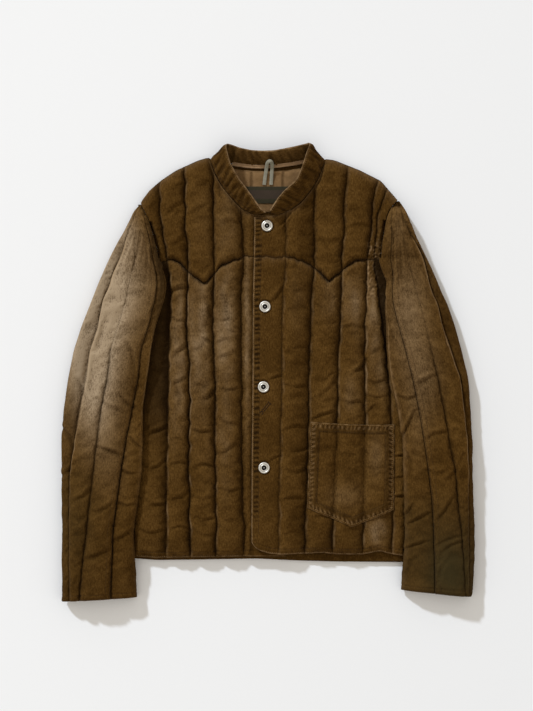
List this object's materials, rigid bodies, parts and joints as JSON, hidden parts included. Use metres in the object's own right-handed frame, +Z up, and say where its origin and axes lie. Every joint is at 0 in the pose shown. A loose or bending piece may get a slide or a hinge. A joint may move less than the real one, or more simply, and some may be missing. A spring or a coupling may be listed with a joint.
{
  "type": "quilted down jacket",
  "caption": "Quilted down jacket with a stand collar, ring buttons, pointed yokes and a patch pocket, laid flat front up.",
  "frame": {"origin": "under the middle of the outline, on the surface that the jacket lies on", "axes": "+X towards the wearer's left side, +Y towards the collar, +Z up out of the front"},
  "size_m": [0.6866, 0.7602, 0.0402],
  "materials": {
    "shell": "matt brown garment-dyed cord cloth, worn paler on the crowns",
    "lining": "matt light brown cloth",
    "tape": "matt tan twill tape",
    "loop": "grey-green ribbon, low sheen",
    "label": "woven, dark green-grey, blank",
    "button": "worn silvery metal"
  },
  "bodies": {
    "root": {"back_panel": "shell", "front_right": "shell", "front_left": "shell", "yoke_right": "shell", "yoke_left": "shell", "sleeve_right_top": "shell", "sleeve_right_under": "shell", "sleeve_left_top": "shell", "sleeve_left_under": "shell", "collar_band": "shell", "pocket": "shell", "back_lining": "lining", "neck_tape": "tape", "hanger_loop": "loop", "neck_label": "label", "button_1": "button", "button_2": "button", "button_3": "button", "button_4": "button"}
  },
  "joints": []
}
